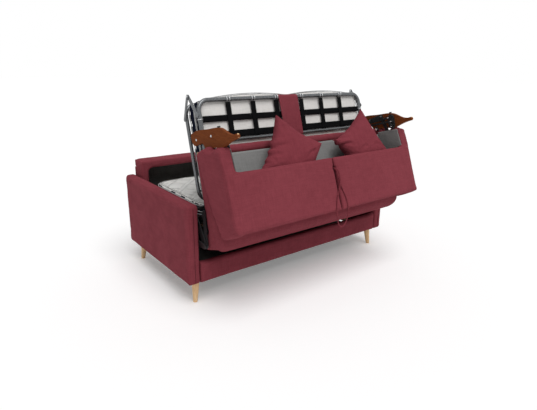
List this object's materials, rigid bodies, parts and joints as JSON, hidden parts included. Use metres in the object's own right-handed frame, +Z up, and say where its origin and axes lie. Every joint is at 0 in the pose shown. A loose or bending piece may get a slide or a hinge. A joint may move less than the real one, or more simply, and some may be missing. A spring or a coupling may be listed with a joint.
{
  "type": "sofa bed",
  "caption": "Slim-armed two-seat sofa bed shown half open: seat and folded backrest tipped forward over the base, folding bed frame upright behind them, pillows in the backrest pocket.",
  "frame": {"origin": "on the floor, under the middle of the bounding box of the half open sofa bed", "axes": "+X across the sofa to the right seen from the front, +Y from its front to its rear, +Z up"},
  "size_m": [1.68, 1.2693, 1.1912],
  "materials": {
    "maroon_fabric": "woven, matt",
    "pillow_fabric": "woven, matt",
    "black_lining": "non-woven, matt",
    "grey_lining": "smooth lining cloth",
    "mattress_cover": "quilted, matt",
    "webbing": "woven elastic",
    "grey_steel": "powder coated",
    "black_steel": "powder coated",
    "bright_steel": "zinc plated",
    "varnished_wood": "glossy brown varnish",
    "beech": "clear satin varnish",
    "board": "raw board",
    "black_plastic": "matt",
    "black_rubber": "matt"
  },
  "bodies": {
    "base": {"left_arm": "maroon_fabric", "right_arm": "maroon_fabric", "front_rail": "maroon_fabric", "back_frame": "maroon_fabric", "rear_board": "maroon_fabric", "back_lining": "black_lining", "base_ring": "board", "bottom_lining": "black_lining", "legs": "beech", "leg_plates": "bright_steel", "pivot_brackets": "black_steel", "lift_guides": "black_steel"},
    "head_section": {"head_frame": "grey_steel", "head_webbing": "webbing", "head_mattress": "mattress_cover", "lift_blocks": "black_plastic"},
    "carrier": {"swing_plates": "black_steel", "pivot_pins": "bright_steel"},
    "mid_section": {"mid_frame": "grey_steel", "mid_webbing": "webbing", "webbing_hooks": "bright_steel", "mid_mattress": "mattress_cover", "centre_strip": "maroon_fabric", "fold_pins": "bright_steel"},
    "foot_section": {"foot_frame": "grey_steel", "foot_webbing": "webbing", "foot_mattress": "mattress_cover"},
    "leg_hoop": {"foot_leg": "grey_steel", "leg_tips": "black_rubber"},
    "seat": {"seat_cushion": "maroon_fabric", "seat_board": "board", "seat_plates": "black_steel", "seat_hinges": "bright_steel"},
    "backrest": {"backrest_hinges": "bright_steel", "hinge_pins": "bright_steel", "left_gusset": "maroon_fabric", "right_gusset": "maroon_fabric", "left_panel": "maroon_fabric", "right_panel": "maroon_fabric", "backrest_cushion": "maroon_fabric", "backrest_board": "board", "pocket_lining": "grey_lining", "backrest_rail": "maroon_fabric", "left_plate": "varnished_wood", "right_plate": "varnished_wood", "plate_links": "bright_steel", "plate_bolts": "bright_steel", "plate_knobs": "black_plastic", "pillow_left": "pillow_fabric", "pillow_right": "pillow_fabric", "pull_strap": "maroon_fabric"}
  },
  "joints": [
    {"name": "sofa_closing", "type": "hinge", "parent": "base", "child": "carrier", "pos_m": [0, -0.30956, 0.385], "axis": [1, 0, 0], "range_deg": [-75, 0]},
    {"name": "head_lowering", "type": "slide", "parent": "base", "child": "head_section", "axis": [0, 0, 1], "range_m": [-0.3451, 0]},
    {"name": "bed_opening", "type": "hinge", "parent": "carrier", "child": "mid_section", "pos_m": [0, -0.18265, 0.56499], "axis": [1, 0, 0], "range_deg": [0, 105]},
    {"name": "seat_turning", "type": "hinge", "parent": "carrier", "child": "seat", "pos_m": [0, -0.30956, 0.385], "axis": [1, 0, 0], "range_deg": [0, 105]},
    {"name": "foot_unfolding", "type": "hinge", "parent": "mid_section", "child": "foot_section", "pos_m": [0, -0.01882, 1.17642], "axis": [1, 0, 0], "range_deg": [0, 180.01]},
    {"name": "leg_unfolding", "type": "hinge", "parent": "foot_section", "child": "leg_hoop", "pos_m": [0, -0.08799, 0.63621], "axis": [1, 0, 0], "range_deg": [-90.01, 0]},
    {"name": "backrest_folding", "type": "hinge", "parent": "seat", "child": "backrest", "pos_m": [0, -0.21269, 0.90878], "axis": [1, 0, 0], "range_deg": [-82, 0], "deforming": ["pillow_left", "pillow_right", "pull_strap"]}
  ],
  "couplings": [
    {"joint": "head_lowering", "follows": "sofa_closing", "m_per_rad": 0.26356},
    {"joint": "seat_turning", "follows": "bed_opening", "ratio": 1},
    {"joint": "foot_unfolding", "follows": "bed_opening", "ratio": 1.7143},
    {"joint": "leg_unfolding", "follows": "bed_opening", "ratio": -0.85714}
  ]
}
